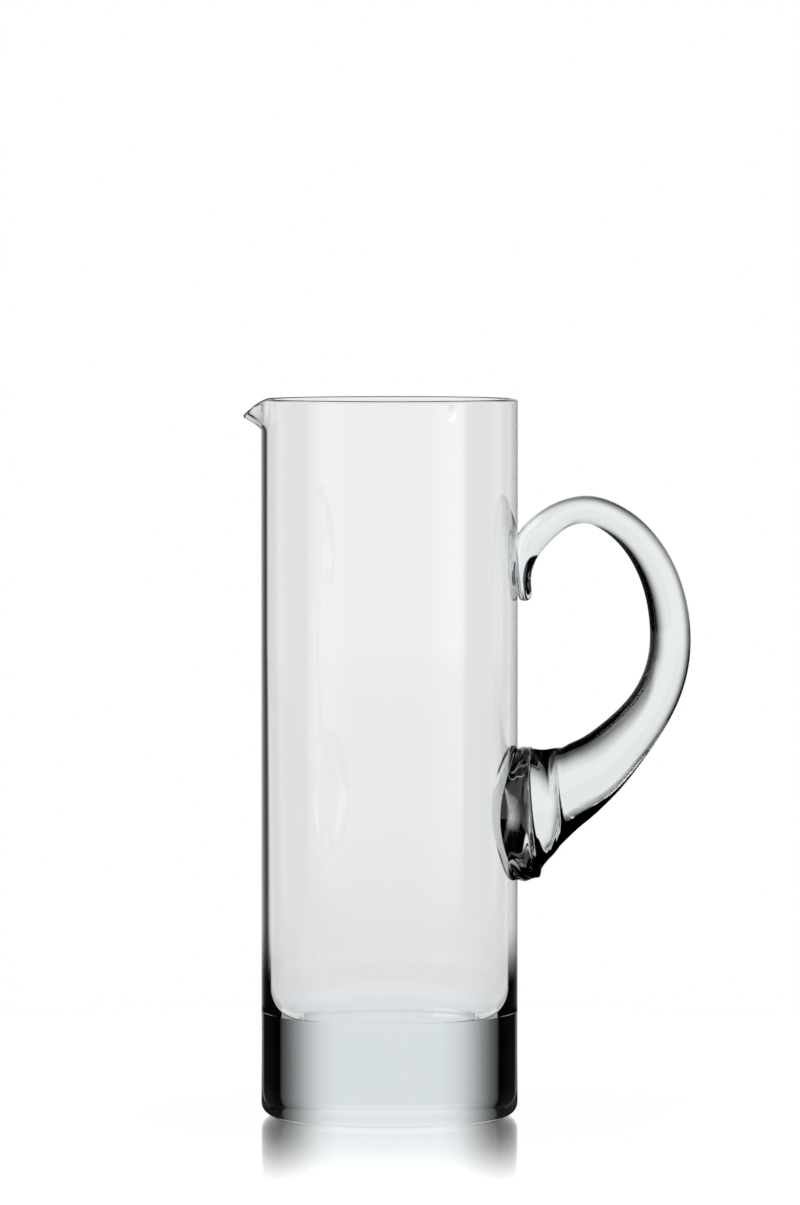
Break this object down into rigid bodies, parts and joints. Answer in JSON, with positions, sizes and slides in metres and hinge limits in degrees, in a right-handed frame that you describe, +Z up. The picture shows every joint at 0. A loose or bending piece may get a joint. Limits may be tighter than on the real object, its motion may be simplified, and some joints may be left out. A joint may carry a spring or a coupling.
{
  "type": "cocktail pitcher",
  "caption": "Clear glass cocktail pitcher: a straight thin-walled cylinder on a heavy solid base, with a small pulled pouring lip and an applied hand-drawn loop handle.",
  "frame": {"origin": "centre of the foot's flat underside, on the vessel's axis", "axes": "+Z up along the vessel's axis, -X towards the tip of the pouring lip, +X towards the handle"},
  "size_m": [0.1533, 0.088, 0.246],
  "materials": {
    "vessel_glass": "clear, mouth-blown and fire-polished",
    "handle_glass": "clear, drawn hot and fire-polished"
  },
  "bodies": {
    "root": {"vessel": "vessel_glass", "handle": "handle_glass"}
  },
  "joints": []
}
